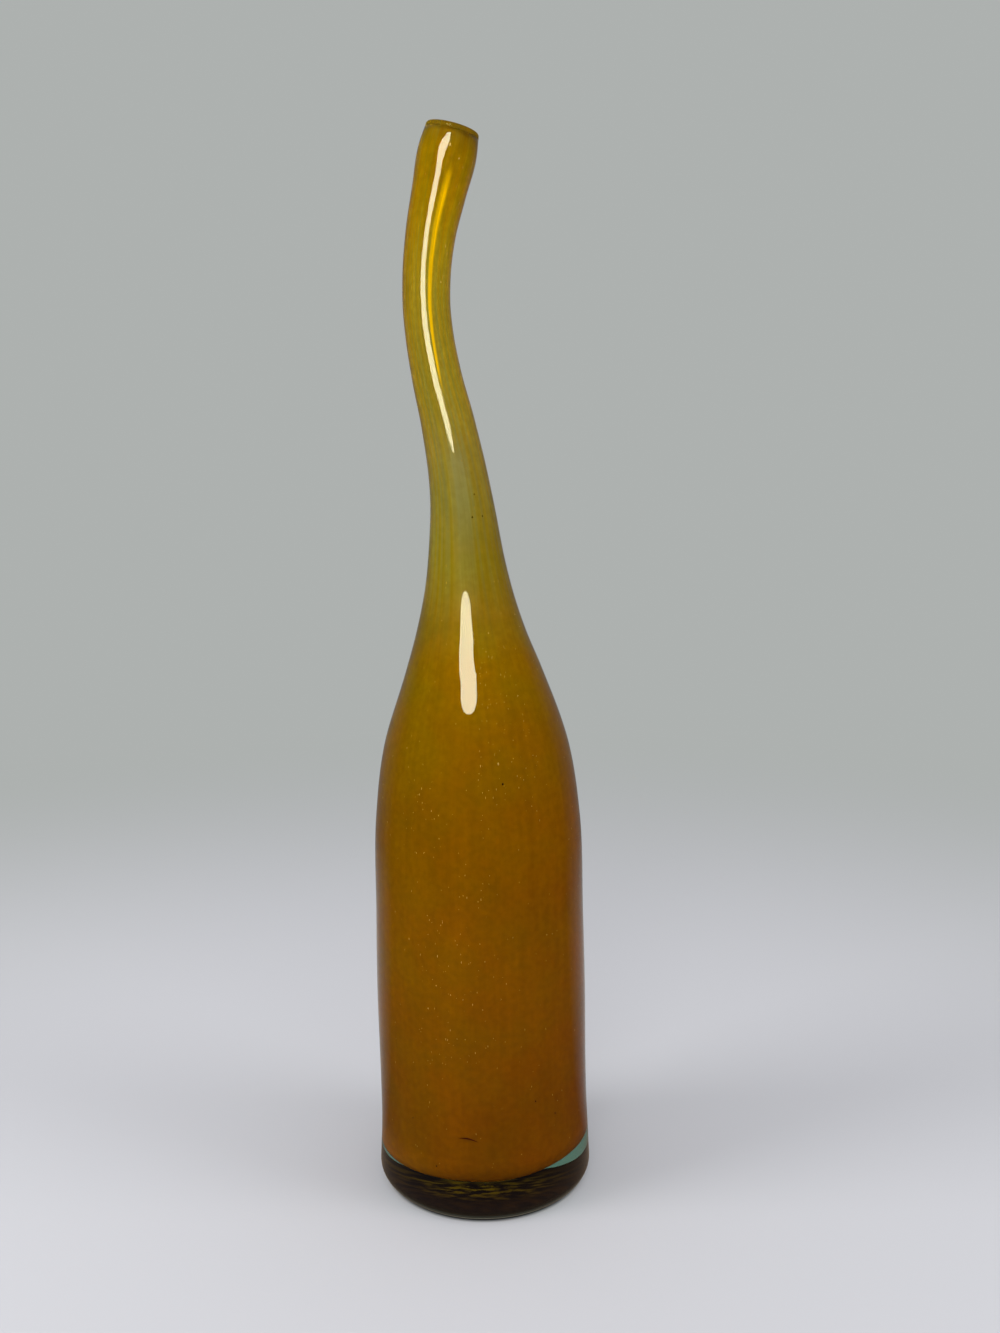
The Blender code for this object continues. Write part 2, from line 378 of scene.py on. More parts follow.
# The few larger bubbles: angle round the vase, height and half width.
LARGE_BODY_SEEDS = (
    (-76, 0.2430, 0.00042),
    (-51, 0.1520, 0.00026),
    (-47, 0.1515, 0.00022),
    (-118, 0.1160, 0.00024),
    (-113, 0.1290, 0.00022),
    (-105, 0.1250, 0.00020),
    (70, 0.2200, 0.00030),
    (140, 0.1300, 0.00035),
)
LARGE_NECK_SEEDS = (
    (-84, 0.5450, 0.00045),
    (-100, 0.5460, 0.00030),
    (-60, 0.5400, 0.00030),
    (-22, 0.5410, 0.00024),
    (-14, 0.5375, 0.00026),
    (-24, 0.5340, 0.00020),
    (-158, 0.5360, 0.00028),
    (-164, 0.5290, 0.00024),
    (-160, 0.5230, 0.00020),
    (-166, 0.5150, 0.00026),
    (-162, 0.5050, 0.00024),
    (-168, 0.4960, 0.00030),
    (-164, 0.4830, 0.00024),
    (-160, 0.4700, 0.00022),
    (-166, 0.4560, 0.00026),
)
LARGE_SEED_STRETCH = 1.8
LARGE_SEED_DEPTH_SHARE = 0.5
# The bubbles are pale drops: their colour is a painted glint, for the light that they catch.
BODY_SEED_GLINT_COLORS = ((0.38, 0.20, 0.02, 1), (0.66, 0.45, 0.12, 1))
NECK_SEED_GLINT_COLORS = ((0.75, 0.42, 0.04, 1), (0.95, 0.78, 0.35, 1))
SEED_ROUGHNESS = 0.3

# Dark specks in the glass: angle round the vase, height and radius.
SPECKS = (
    (-74, 0.2330, 0.00045),
    (-52, 0.3630, 0.00035),
    (-72, 0.3630, 0.00040),
    (-62, 0.3740, 0.00030),
    (-160, 0.0560, 0.00035),
    (-131, 0.0520, 0.00030),
    (-116, 0.0290, 0.00035),
    (-60, 0.0630, 0.00035),
    (-47, 0.0520, 0.00030),
    (-8, 0.0640, 0.00030),
    (35, 0.1500, 0.00035),
    (110, 0.0900, 0.00040),
    (160, 0.2400, 0.00035),
)
SPECK_STRETCH = 1.4
SPECK_DEPTH_SHARE = 0.8
SPECK_COLORS = ((0.004, 0.002, 0.001, 1), (0.02, 0.008, 0.003, 1))

# The dark thread low on the front.
THREAD_ANGLES = (-103.0, -92.5)
THREAD_HEIGHTS = (0.0468, 0.0450)
THREAD_RADIUS = 0.00038
THREAD_TIP_SHARE = 0.15
THREAD_BOW = 0.0009
THREAD_DEPTH_SHARE = 0.75
THREAD_STEPS = 12
THREAD_SIDES = 8
THREAD_COLORS = ((0.035, 0.004, 0.001, 1), (0.075, 0.012, 0.002, 1))

# The form and the unevenness of the small things in the glass.
DROP_SIDES = 6
DROP_RINGS = 4
MOTTLE_SCALE = 90.0
MOTTLE_DETAIL = 2
DULL_ROUGHNESS = 1.0


def between(low, high, share):
    """The value at a share of the way from low to high."""
    return low + (high - low) * share


def centre_line_points():
    """Places of the centre line as (height, lean), from the table to the rim."""
    points = [(0, 0), (FOOT_STRAIGHT, 0), (2 * FOOT_STRAIGHT, 0)]
    points.append((WAIST_HEIGHT, WAIST_LEAN))
    points.append((BELLY_HEIGHT, BELLY_LEAN))
    points.append((SHOULDER_HEIGHT, SHOULDER_LEAN))
    for climb, travel in BEND_OUT_SHARES:
        height = between(SHOULDER_HEIGHT, BEND_HEIGHT, climb)
        points.append((height, between(SHOULDER_LEAN, BEND_LEAN, travel)))
    points.append((BEND_HEIGHT, BEND_LEAN))
    for climb, travel in BEND_BACK_SHARES:
        height = between(BEND_HEIGHT, RIM_HEIGHT, climb)
        points.append((height, between(BEND_LEAN, RIM_LEAN, travel)))
    points.append((RIM_HEIGHT, RIM_LEAN))
    return points


def centre_line():
    """The guide curve that both layers of glass follow, and its length."""
    curve = bpy.data.curves.new("centre_line", "CURVE")
    curve.dimensions = "3D"
    curve.twist_mode = "MINIMUM"
    curve.resolution_u = GUIDE_RESOLUTION
    points = centre_line_points()
    spline = curve.splines.new("BEZIER")
    spline.bezier_points.add(len(points) - 1)
    for bezier_point, (height, lean) in zip(spline.bezier_points, points):
        bezier_point.co = (-lean, 0, height)
        bezier_point.handle_left_type = "AUTO"
        bezier_point.handle_right_type = "AUTO"
        # The curve modifier turns a shape half way round: this turns it back.
        bezier_point.tilt = math.pi
    guide = bpy.data.objects.new("centre_line", curve)
    bpy.context.scene.collection.objects.link(guide)
    guide.hide_render = True
    guide.hide_viewport = True
    return guide, spline.calc_length(resolution=GUIDE_RESOLUTION)


def outline_stations(rim_height):
    """The outside of the vase as (height, radius), from the top of the heel to the rim."""
    base, waist = BASE_DIAMETER / 2, WAIST_DIAMETER / 2
    belly, neck = BELLY_DIAMETER / 2, NECK_DIAMETER / 2
    mouth, rim = MOUTH_DIAMETER / 2, RIM_DIAMETER / 2
    mouth_height = rim_height - MOUTH_BELOW_RIM
    stations = [(HEEL_RADIUS, base)]
    for climb, left in SKIRT_SHARES:
        stations.append((between(HEEL_RADIUS, WAIST_HEIGHT, climb), between(waist, base, left)))
    stations.append((WAIST_HEIGHT, waist))
    stations.append((BELLY_HEIGHT, belly))
    for climb, left in SHOULDER_SHARES:
        stations.append((between(BELLY_HEIGHT, NECK_HEIGHT, climb), between(neck, belly, left)))
    stations.append((NECK_HEIGHT, neck))
    for climb, left in FLARE_SHARES:
        stations.append((between(NECK_HEIGHT, mouth_height, climb), between(mouth, neck, left)))
    stations.append((mouth_height, mouth))
    stations.append((rim_height, rim))
    return stations


def station_slopes(stations):
    """The slope of a smooth line through the stations, at each of them."""
    steps = [
        (after[1] - before[1]) / (after[0] - before[0])
        for before, after in zip(stations, stations[1:])
    ]
    slopes = [steps[0]]
    for index in range(1, len(stations) - 1):
        below = stations[index][0] - stations[index - 1][0]
        above = stations[index + 1][0] - stations[index][0]
        slopes.append((steps[index - 1] * above + steps[index] * below) / (below + above))
    slopes.append(steps[-1])
    return slopes


def outside_at(stations, height):
    """Radius of the outside at a height, and its slope, by cubic pieces between stations."""
    slopes = station_slopes(stations)
    index = 0
    while index < len(stations) - 2 and height > stations[index + 1][0]:
        index += 1
    (low, low_radius), (high, high_radius) = stations[index], stations[index + 1]
    span = high - low
    climb = (height - low) / span
    low_pull, high_pull = slopes[index] * span, slopes[index + 1] * span
    rise = high_radius - low_radius
    square = 3 * rise - 2 * low_pull - high_pull
    cube = low_pull + high_pull - 2 * rise
    radius = low_radius + low_pull * climb + square * climb ** 2 + cube * climb ** 3
    slope = (low_pull + 2 * square * climb + 3 * cube * climb ** 2) / span
    return radius, slope


def wall_at(height, body_wall, neck_wall):
    """Wall thickness at a height: even in the body, thinning over the shoulder to the neck."""
    climb = (height - BELLY_HEIGHT) / (NECK_HEIGHT - BELLY_HEIGHT)
    climb = min(max(climb, 0), 1)
    return between(body_wall, neck_wall, climb ** 2 * (3 - 2 * climb))


def outside_depth(height):
    """How far the fine outer surface lies inside the outline: the same at every height."""
    return SKIN_INSET


def casing_depth(height):
    """How far the clear layer's inner side lies inside the outline."""
    return wall_at(height, CASING_BODY_WALL, CASING_NECK_WALL)


def core_depth(height):
    """How far the amber layer's outer side lies inside the outline."""
    return casing_depth(height) + SEAM_GAP


def hollow_depth(height):
    """How far the hollow of the vase lies inside the outline."""
    return core_depth(height) + wall_at(height, CORE_BODY_WALL, CORE_NECK_WALL)


def inset_point(stations, height, depth):
    """The place a depth inside the outside's surface, square to it, as (radius, height)."""
    radius, slope = outside_at(stations, height)
    length = math.hypot(1, slope)
    return radius - depth / length, height + depth * slope / length


def wall_line(stations, low, high, depth_at):
    """A line up the wall, at a depth inside the outside's surface."""
    heights = [between(low, high, row / WALL_ROWS) for row in range(WALL_ROWS + 1)]
    return [inset_point(stations, height, depth_at(height)) for height in heights]


def arc(centre_radius, centre_height, size, start_degrees, end_degrees, steps):
    """Points of an arc in the profile, as (radius, height)."""
    points = []
    for step in range(steps + 1):
        angle = math.radians(between(start_degrees, end_degrees, step / steps))
        points.append((centre_radius + size * math.cos(angle), centre_height + size * math.sin(angle)))
    return points


def floor_line(radius, middle_height, edge_height):
    """A line from the middle out to a radius, as (radius, height)."""
    return [
        (radius * row / FLOOR_ROWS, between(middle_height, edge_height, row / FLOOR_ROWS))
        for row in range(FLOOR_ROWS)
    ]


def bottom_at(angle):
    """How much lower and less rounded the bottom of the amber is on one side of the vase."""
    to_right, to_back = math.cos(angle), max(0, math.sin(angle)) ** 2
    side_tighter = RIGHT_TIGHTER if to_right > 0 else LEFT_TIGHTER
    lower = BACK_LOWER * to_back ** 2 - SIDE_RISE * to_right * abs(to_right)
    return lower, BACK_TIGHTER * to_back + side_tighter * to_right ** 4


def inner_line(stations, angle, floor_wall, depth_at, top_height):
    """A line inside the vase: floor from the middle, rounded heel, then up the wall.

    floor_wall is how far it lies inside the underside of the amber.
    """
    lower, tighter = bottom_at(angle)
    middle_height = CLEAR_BASE_HEIGHT + floor_wall
    floor_height = middle_height - lower
    heel_radius = CORE_HEEL_RADIUS - tighter - floor_wall
    wall = wall_line(stations, floor_height + heel_radius, top_height, depth_at)
    heel_centre = wall[0][0] - heel_radius
    heel = arc(heel_centre, floor_height + heel_radius, heel_radius, -90, 0, HEEL_STEPS)
    return floor_line(heel_centre, middle_height, floor_height) + heel + wall[1:]


def labelled(points, label):
    """The points of a profile with the name of the surface that they are on."""
    return [(radius, height, label) for radius, height in points]


def casing_profile(stations, rim_height, angle):
    """The clear layer: up its inner side, over its end, down its outside and in to the middle."""
    end_height = rim_height - LIP_HEIGHT - SEAM_GAP
    inside = inner_line(stations, angle, -SEAM_GAP, casing_depth, end_height)
    outside = wall_line(stations, HEEL_RADIUS, end_height, outside_depth)
    heel_centre = BASE_DIAMETER / 2 - HEEL_RADIUS
    heel = arc(heel_centre, HEEL_RADIUS, HEEL_RADIUS - SKIN_INSET, 0, -90, HEEL_STEPS)
    underside = floor_line(heel_centre, SKIN_INSET, SKIN_INSET)[::-1]
    return labelled(inside, "seam") + labelled(outside[:0:-1] + heel + underside, "outside")


def core_profile(stations, rim_height, angle):
    """The amber layer: up its inner side, over the lip, in under it and down to the floor."""
    ledge_height = rim_height - LIP_HEIGHT
    lip_radius = hollow_depth(rim_height) / 2
    lip_centre_height = rim_height - lip_radius - SKIN_INSET
    lip_centre = outside_at(stations, lip_centre_height)[0] - lip_radius - SKIN_INSET
    inside = inner_line(stations, angle, CORE_FLOOR_WALL, hollow_depth, ledge_height)
    lip = arc(lip_centre, lip_centre_height, lip_radius, 180, 0, LIP_STEPS)
    ledge = [inset_point(stations, ledge_height, SKIN_INSET)]
    outside = inner_line(stations, angle, 0, core_depth, ledge_height)
    bottom_rows = FLOOR_ROWS + BOTTOM_STEPS
    wall, bottom = outside[bottom_rows:], outside[:bottom_rows]
    return (
        labelled(inside, "hollow")
        + labelled(lip, "lip")
        + labelled(ledge + wall[::-1], "seam")
        + labelled(bottom[::-1], "bottom")
    )


def round_axis(radius, angle, height):
    """A place at an angle round the axis of the vase, before the bend."""
    return radius * math.cos(angle), radius * math.sin(angle), height


def turned_rings(profiles, angles):
    """The points of a turned layer and, ring by ring, their numbers. The axis holds one point."""
    points, rings = [], []
    for row in zip(*profiles):
        ring = row[:1] if row[0][0] == 0 else row
        rings.append([len(points) + step for step in range(len(ring))])
        for angle, (radius, height, label) in zip(angles, ring):
            points.append(round_axis(radius, angle, height))
    return points, rings


def faces_between(low, high):
    """The faces from one ring to the next. Either of the two may be a single point."""
    faces = []
    for step in range(TURN_STEPS):
        after = (step + 1) % TURN_STEPS
        if len(low) == 1:
            faces.append((low[0], high[step], high[after]))
        elif len(high) == 1:
            faces.append((low[after], low[step], high[0]))
        else:
            faces.append((low[after], low[step], high[step], high[after]))
    return faces


def smooth_mesh(name, points, faces, material):
    """A smoothly shaded mesh of one material."""
    mesh = bpy.data.meshes.new(name)
    mesh.from_pydata(points, [], faces)
    mesh.polygons.foreach_set("use_smooth", [True] * len(faces))
    mesh.materials.append(material)
    return mesh


def bent_object(name, mesh, guide):
    """An object that is bent along the guide."""
    bent = bpy.data.objects.new(name, mesh)
    bpy.context.scene.collection.objects.link(bent)
    bend = bent.modifiers.new("bend", "CURVE")
    bend.object = guide
    bend.deform_axis = "POS_Z"
    return bent


def turned_glass(name, profile_at, material, guide):
    """A layer of glass: its profile at each angle round the axis, then bent along the guide.

    It keeps three things for its material: the place of each point before the bend, and which
    faces lie on the seam between the layers or on the bottom of the amber.
    """
    angles = [2 * math.pi * step / TURN_STEPS for step in range(TURN_STEPS)]
    profiles = [profile_at(angle) for angle in angles]
    points, rings = turned_rings(profiles, angles)
    faces, labels = [], []
    for low, high, (radius, height, label) in zip(rings, rings[1:], profiles[0]):
        faces += faces_between(low, high)
        labels += [label] * TURN_STEPS
    mesh = smooth_mesh(name, points, faces, material)
    places = mesh.attributes.new("straight", "FLOAT_VECTOR", "POINT")
    places.data.foreach_set("vector", [number for place in points for number in place])
    for mark, marked_labels in (("seam", ("seam", "bottom")), ("bottom", ("bottom",))):
        marked = mesh.attributes.new(mark, "FLOAT", "FACE")
        marked.data.foreach_set("value", [label in marked_labels for label in labels])
    return bent_object(name, mesh, guide)


def new_material(name):
    """An empty node material: (material, its tree, its output node)."""
    material = bpy.data.materials.new(name)
    material.use_nodes = True
    material.node_tree.nodes.clear()
    output = material.node_tree.nodes.new("ShaderNodeOutputMaterial")
    return material, material.node_tree, output


def feed(tree, socket, value):
    """Give a node's input its value, which is another node's output or a constant."""
    if isinstance(value, bpy.types.NodeSocket):
        tree.links.new(value, socket)
    else:
        socket.default_value = value


def made(tree, kind, values):
    """The first output of a new node. The values of its inputs are given by name."""
    node = tree.nodes.new(kind)
    for name, value in values.items():
        feed(tree, node.inputs[name], value)
    return node.outputs[0]


def number_node(tree, operation, first, second):
    """The result of a math node."""
    node = tree.nodes.new("ShaderNodeMath")
    node.operation = operation
    feed(tree, node.inputs[0], first)
    feed(tree, node.inputs[1], second)
    return node.outputs[0]


def product(tree, number, *factors):
    """A node's number times other numbers."""
    for factor in factors:
        number = number_node(tree, "MULTIPLY", number, factor)
    return number


def vector_node(tree, operation, first, second=None, result="Vector"):
    """The result of a vector math node."""
    node = tree.nodes.new("ShaderNodeVectorMath")
    node.operation = operation
    feed(tree, node.inputs[0], first)
    if second is not None:
        feed(tree, node.inputs[1], second)
    return node.outputs[result]


def times(tree, color, *factors):
    """A colour times other colours or numbers, all of them outputs of nodes."""
    for factor in factors:
        color = vector_node(tree, "MULTIPLY", color, factor)
    return color


def two_colors(tree, share, first, second):
    """A colour between two. The node's colours are its inputs 6 and 7 and its output 2."""
    mix = tree.nodes.new("ShaderNodeMix")
    mix.data_type = "RGBA"
    feed(tree, mix.inputs["Factor"], share)
    feed(tree, mix.inputs[6], first)
    feed(tree, mix.inputs[7], second)
    return mix.outputs[2]


def mixed(tree, share, first, second):
    """Two shaders mixed: a share of 0 is the first of them and 1 is the second."""
    mix = tree.nodes.new("ShaderNodeMixShader")
    tree.links.new(share, mix.inputs["Fac"])
    tree.links.new(first, mix.inputs[1])
    tree.links.new(second, mix.inputs[2])
    return mix.outputs[0]


def ranged(tree, value, low, high, result_low, result_high, manner="LINEAR"):
    """A value from low to high as one from the low result to the high one, no further."""
    node = tree.nodes.new("ShaderNodeMapRange")
    node.interpolation_type = manner
    tree.links.new(value, node.inputs["Value"])
    node.inputs["From Min"].default_value = low
    node.inputs["From Max"].default_value = high
    node.inputs["To Min"].default_value = result_low
    node.inputs["To Max"].default_value = result_high
    return node.outputs["Result"]


def noise(tree, place, scale, detail):
    """Noise at a place: a number about 0.5."""
    return made(tree, "ShaderNodeTexNoise", {"Vector": place, "Scale": scale, "Detail": detail})


def parts_of(tree, vector):
    """The X, Y and Z of a vector."""
    split = tree.nodes.new("ShaderNodeSeparateXYZ")
    tree.links.new(vector, split.inputs[0])
    return split.outputs


def kept(tree, name):
    """What the mesh keeps for its material under a name."""
    node = tree.nodes.new("ShaderNodeAttribute")
    node.attribute_name = name
    return node


def straight(tree):
    """The place of a point before the bend."""
    return kept(tree, "straight").outputs["Vector"]


def height_of(tree):
    """The height of a point before the bend."""
    return parts_of(tree, straight(tree))["Z"]


def outward(tree):
    """The level way out from the axis, before the bend. Its length is 1."""
    return vector_node(tree, "NORMALIZE", vector_node(tree, "MULTIPLY", straight(tree), (1, 1, 0)))


def streaks(tree, around, along, start):
    """Noise that runs up the vase, as swinging draws the glass out: a number about 0.5."""
    climb = product(tree, height_of(tree), along)
    spread = vector_node(tree, "MULTIPLY", outward(tree), (around, around, around))
    rise = made(tree, "ShaderNodeCombineXYZ", {"X": start, "Z": climb})
    return noise(tree, vector_node(tree, "ADD", spread, rise), 1, STREAK_DETAIL)


def blotches(tree, scale):
    """Soft spots in the glass: a number about 0.5."""
    return noise(tree, straight(tree), scale, BLOTCH_DETAIL)


def as_color(value):
    """A colour as it is, or a number as a grey."""
    return value if isinstance(value, tuple) else (value, value, value, 1)


def height_ramp(tree, stops):
    """A colour by height along the vase. stops are (height, colour or grey number)."""
    low, high = stops[0][0], stops[-1][0]
    ramp = tree.nodes.new("ShaderNodeValToRGB")
    elements = ramp.color_ramp.elements
    for index, (height, color) in enumerate(stops):
        place = (height - low) / (high - low)
        element = elements[index] if index < 2 else elements.new(place)
        element.position = place
        element.color = as_color(color)
    tree.links.new(ranged(tree, height_of(tree), low, high, 0, 1), ramp.inputs["Fac"])
    return ramp.outputs["Color"]


def side_tint(tree, left, right):
    """A colour factor that goes from left to right across the vase."""
    across = parts_of(tree, straight(tree))["X"]
    share = ranged(tree, across, -BASE_DIAMETER / 2, BASE_DIAMETER / 2, 0, 1)
    return two_colors(tree, share, left, right)


def upright_band(tree, angle, heights, reaches, shifts):
    """Where a band runs up the glass: 1 in its middle and 0 beside it.

    angle is the way round the vase to it. Reaches and shifts are how far it goes to each side and
    how far its middle is off that angle at the two heights, as shares of the radius.
    """
    height = height_of(tree)
    turn = math.radians(angle)
    out = outward(tree)
    before = vector_node(tree, "DOT_PRODUCT", out, round_axis(1, turn, 0), result="Value")
    quarter_on = round_axis(1, turn + math.pi / 2, 0)
    beside = vector_node(tree, "DOT_PRODUCT", out, quarter_on, result="Value")
    off = number_node(tree, "SUBTRACT", beside, ranged(tree, height, *heights, *shifts))
    off = number_node(tree, "ABSOLUTE", off, 0)
    share = number_node(tree, "DIVIDE", off, ranged(tree, height, *heights, *reaches))
    near = ranged(tree, share, BAND_FULL_SHARE, 1, 1, 0)
    front = ranged(tree, before, 0, BAND_FULL_SHARE, 0, 1)
    above = ranged(tree, height, heights[0], heights[0] + BAND_FADE, 0, 1)
    below = ranged(tree, height, heights[1] - BAND_FADE, heights[1], 1, 0)
    return product(tree, near, front, product(tree, above, below))


def waves(tree):
    """The slight waviness of the outer surface."""
    return made(tree, "ShaderNodeBump", {
        "Distance": WAVE_DEPTH,
        "Strength": WAVE_STRENGTH,
        "Height": streaks(tree, *WAVE_STREAKS),
    })


def absorbing(tree, left, density):
    """The inside of a layer of glass."""
    return made(tree, "ShaderNodeVolumeAbsorption", {"Color": left, "Density": density})


def clear_glass():
    """The outer layer. Light from the lamps reaches the amber through it."""
    material, tree, output = new_material("clear_glass")
    glass = made(tree, "ShaderNodeBsdfPrincipled", {
        # Painted shade at the heel darkens what the glass lets through.
        "Base Color": height_ramp(tree, HEEL_SHADE_STOPS),
        "Roughness": 0,
        "IOR": GLASS_IOR,
        "Transmission Weight": 1,
        "Normal": waves(tree),
    })
    shadow_ray = tree.nodes.new("ShaderNodeLightPath").outputs["Is Shadow Ray"]
    lit_way = made(tree, "ShaderNodeBsdfTransparent", {"Color": height_ramp(tree, SHADE_STOPS)})
    outside = mixed(tree, shadow_ray, glass, lit_way)
    open_way = made(tree, "ShaderNodeBsdfTransparent", {})
    seam = kept(tree, "seam").outputs["Fac"]
    tree.links.new(mixed(tree, seam, outside, open_way), output.inputs["Surface"])
    tree.links.new(absorbing(tree, AQUA_LEFT, AQUA_DENSITY), output.inputs["Volume"])
    return material


def unevenness(tree):
    """A factor for the amber: fine streaks, broad streaks and grain."""
    fine = ranged(tree, streaks(tree, *FINE_STREAKS), *FINE_RANGE)
    broad = ranged(tree, streaks(tree, *BROAD_STREAKS), *BROAD_RANGE)
    grain = ranged(tree, blotches(tree, GRAIN_SCALE), *GRAIN_RANGE)
    return product(tree, fine, broad, grain)


def hue_spots(tree):
    """A colour factor for the redder and greener spots."""
    share = ranged(tree, blotches(tree, HUE_SCALE), *HUE_RANGE)
    return two_colors(tree, share, *HUE_COLORS)


def fibres(tree):
    """A colour factor for the fibres of the neck and the painted reflection of the pale band. It is 1
    in the body.
    """
    share = ranged(tree, streaks(tree, *FIBRE_STREAKS), *FIBRE_RANGE)
    fibre = two_colors(tree, share, *FIBRE_COLORS)
    strength = ranged(tree, height_of(tree), *FIBRE_HEIGHTS, 0, 1)
    fibre = two_colors(tree, strength, NO_TINT, fibre)
    # The pale band is a painted reflection.
    return two_colors(tree, upright_band(tree, *PALE_REFLECTION_BAND), fibre, PALE_REFLECTION_COLOR)


def gold_reflection(tree):
    """Where the painted gold reflection runs down the front of the neck, as a bright streak."""
    fine = ranged(tree, streaks(tree, *GOLD_REFLECTION_STREAKS), *GOLD_REFLECTION_RANGE)
    return product(tree, upright_band(tree, *GOLD_REFLECTION_BAND), fine)


def glint_nearness(tree):
    """How near a point of the bottom is to the glints: 1 there and 0 past their reach."""
    away = vector_node(tree, "SUBTRACT", straight(tree), GLINT_PLACE)
    away = vector_node(tree, "MULTIPLY", away, (1 / GLINT_REACH[0], 1 / GLINT_REACH[1], 0))
    distance = vector_node(tree, "LENGTH", away, result="Value")
    return ranged(tree, distance, GLINT_FULL_SHARE, 1, 1, 0)


def bottom_glow_color(tree):
    """The painted glow of the bottom of the amber, in ripples from side to side, with painted glints.
    """
    stretched = vector_node(tree, "MULTIPLY", straight(tree), RIPPLE_STRETCH)
    ripples = noise(tree, stretched, 1, BLOTCH_DETAIL)
    ripple_glow_color = two_colors(tree, ranged(tree, ripples, *RIPPLE_RANGE), *RIPPLE_GLOW_COLORS)
    dull = times(tree, ripple_glow_color, side_tint(tree, *RIPPLE_SIDE_GLOW_COLORS))
    glint = product(tree, glint_nearness(tree), ranged(tree, ripples, *GLINT_RANGE))
    return two_colors(tree, glint, dull, GLINT_COLOR)


def amber_seam(tree, haze, tint):
    """The amber's outer side: part cloudy and part clear, with the glowing gold reflection and the
    glowing painted bottom.
    """
    through = made(tree, "ShaderNodeBsdfRefraction", {
        "Color": tint,
        "Roughness": THROUGH_ROUGHNESS,
        "IOR": SEAM_IOR,
    })
    veins = ranged(tree, streaks(tree, *VEIN_STREAKS), *VEIN_RANGE)
    clarity = product(tree, height_ramp(tree, CLARITY_STOPS), veins)
    look = mixed(tree, clarity, haze, through)
    # The gold streak is a painted reflection that glows.
    gold = made(tree, "ShaderNodeEmission", {"Color": GOLD_REFLECTION_COLOR})
    look = mixed(tree, gold_reflection(tree), look, gold)
    # The bottom of the amber glows with painted light.
    bottom = made(tree, "ShaderNodeEmission", {"Color": bottom_glow_color(tree)})
    return mixed(tree, kept(tree, "bottom").outputs["Fac"], look, bottom)


def amber_glass():
    """The inner layer: cloudy in the body, clearer up the neck, with drawn out streaks."""
    material, tree, output = new_material("amber_glass")
    uneven = unevenness(tree)
    # The fibres' factor also carries the painted reflection of the pale band.
    fibre = fibres(tree)
    # Painted light and shade across the amber, from left to right.
    side_light = side_tint(tree, *SIDE_LIGHT_COLORS)
    cloud = times(tree, height_ramp(tree, CLOUD_STOPS), uneven, side_light, hue_spots(tree), fibre)
    tint = times(tree, height_ramp(tree, TINT_STOPS), uneven, fibre)
    haze = made(tree, "ShaderNodeBsdfPrincipled", {
        "Base Color": cloud,
        "Roughness": HAZE_ROUGHNESS,
        "IOR": SEAM_IOR,
    })
    inner = made(tree, "ShaderNodeBsdfGlass", {
        "Color": height_ramp(tree, LIP_STOPS),
        "Roughness": 0,
        "IOR": GLASS_IOR,
    })
    inner = mixed(tree, height_ramp(tree, LIP_CLOUD_STOPS), inner, haze)
    seam = kept(tree, "seam").outputs["Fac"]
    tree.links.new(mixed(tree, seam, inner, amber_seam(tree, haze, tint)), output.inputs["Surface"])
    tree.links.new(absorbing(tree, AMBER_LEFT, AMBER_DENSITY), output.inputs["Volume"])
    return material


def mottled(name, colors, roughness):
    """The material of a small thing in the glass, uneven between two colours."""
    material, tree, output = new_material(name)
    place = tree.nodes.new("ShaderNodeTexCoord").outputs["Object"]
    shader = made(tree, "ShaderNodeBsdfPrincipled", {
        "Base Color": two_colors(tree, noise(tree, place, MOTTLE_SCALE, MOTTLE_DETAIL), *colors),
        "Roughness": roughness,
        "Specular IOR Level": 0,
    })
    tree.links.new(shader, output.inputs["Surface"])
    return material


def camera():
    """The camera, where the photograph was taken from."""
    data = bpy.data.cameras.new("camera")
    data.sensor_width = CAMERA_SENSOR
    data.lens = CAMERA_LENS
    view = bpy.data.objects.new("camera", data)
    bpy.context.scene.collection.objects.link(view)
    tilt = Matrix.Rotation(math.radians(90 - CAMERA_DOWN_DEGREES), 4, "X")
    roll = Matrix.Rotation(math.radians(CAMERA_ROLL_DEGREES), 4, "Z")
    view.matrix_world = Matrix.Translation(CAMERA_PLACE) @ tilt @ roll
    bpy.context.scene.camera = view


def mirrored_side(tree, way):
    """How bright the mirrored room is: way goes out from the vase, and its length is 1."""
    to_back = parts_of(tree, way)["Y"]
    return ranged(tree, to_back, MIRRORED_FROM, 1, MIRRORED_FRONT, MIRRORED_BACK)


def mirrored_floor(tree, place, distance):
    """The floor's colour as the glass mirrors it."""
    side = mirrored_side(tree, vector_node(tree, "NORMALIZE", place))
    fall = ranged(tree, distance, *MIRRORED_FALL_EDGES, 1, MIRRORED_FAR)
    near = ranged(tree, distance, *WARM_EDGES, 1, 0)
    return two_colors(tree, near, product(tree, side, fall), WARM_COLOR)


